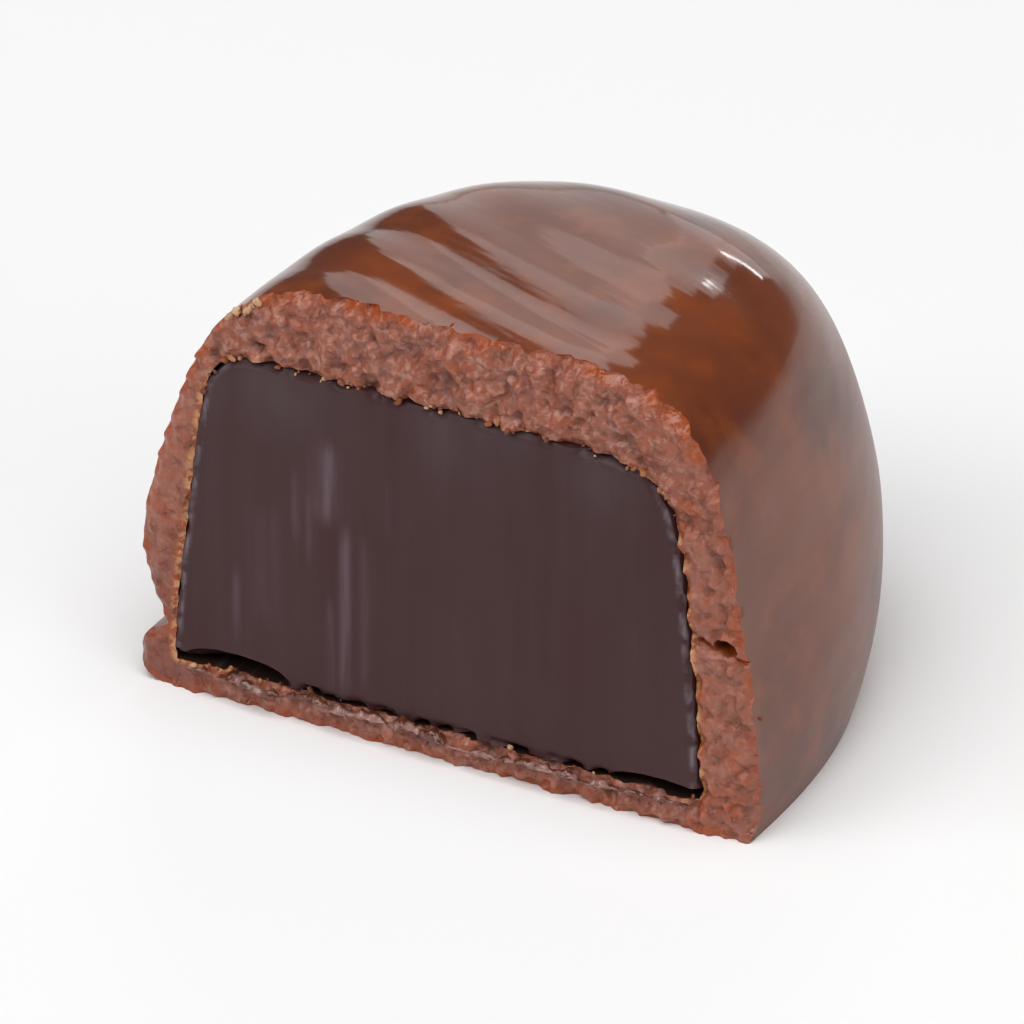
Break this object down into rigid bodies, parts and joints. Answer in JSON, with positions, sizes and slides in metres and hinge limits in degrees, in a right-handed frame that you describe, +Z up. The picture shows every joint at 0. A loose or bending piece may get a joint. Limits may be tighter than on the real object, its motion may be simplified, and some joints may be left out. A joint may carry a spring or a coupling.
{
  "type": "halved chocolate-covered jelly candy",
  "caption": "Half of a rounded sweet in a milk chocolate coating, cut across its middle so that its dark jelly core shows; it stands on its flat base.",
  "frame": {"origin": "middle of the flat base, under the centre of the half's bounding box", "axes": "+Z up; the cut faces -Y and the rounded end +Y; +X across the candy, to the right when the cut is seen from the front"},
  "size_m": [0.0242, 0.0192, 0.0171],
  "materials": {
    "milk_chocolate": "glossy outside, rough and crumbly at the cut",
    "dark_jelly": "smooth, semi-gloss"
  },
  "bodies": {
    "root": {"chocolate_coating": "milk_chocolate", "jelly_center": "dark_jelly"}
  },
  "joints": []
}
